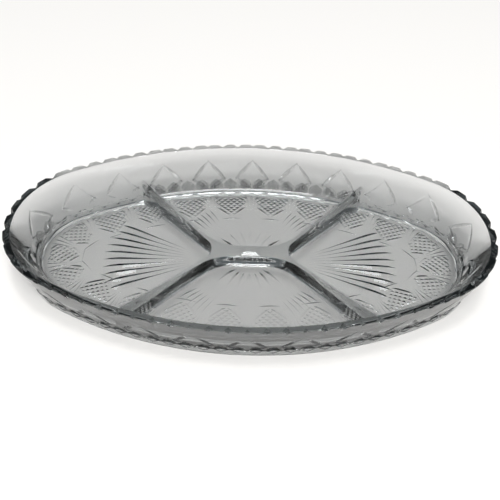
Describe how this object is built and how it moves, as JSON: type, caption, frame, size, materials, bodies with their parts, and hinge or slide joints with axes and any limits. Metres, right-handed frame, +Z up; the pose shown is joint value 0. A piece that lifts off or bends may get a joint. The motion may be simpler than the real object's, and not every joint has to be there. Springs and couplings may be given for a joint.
{
  "type": "divided oval relish dish",
  "caption": "Shallow oval pressed-glass dish with a notched rim and diamonds of mitre cuts, divided by low ribs that meet at a hub, for serving relishes and sweets.",
  "frame": {"origin": "centre of the standing face, on the table", "axes": "+X along the length of the oval, +Y to the back, +Z up"},
  "size_m": [0.3, 0.168, 0.034],
  "materials": {
    "clear_pressed_glass": "gloss"
  },
  "bodies": {
    "root": {"base_plate": "clear_pressed_glass", "foot_front": "clear_pressed_glass", "foot_back": "clear_pressed_glass", "foot_left": "clear_pressed_glass", "foot_right": "clear_pressed_glass", "border_front": "clear_pressed_glass", "border_back": "clear_pressed_glass", "border_left": "clear_pressed_glass", "border_right": "clear_pressed_glass", "wall_front": "clear_pressed_glass", "wall_back": "clear_pressed_glass", "wall_left": "clear_pressed_glass", "wall_right": "clear_pressed_glass", "rim_front": "clear_pressed_glass", "rim_back": "clear_pressed_glass", "rim_left": "clear_pressed_glass", "rim_right": "clear_pressed_glass", "divider_front_left": "clear_pressed_glass", "divider_front_right": "clear_pressed_glass", "divider_back_left": "clear_pressed_glass", "divider_back_right": "clear_pressed_glass", "hub": "clear_pressed_glass"}
  },
  "joints": []
}
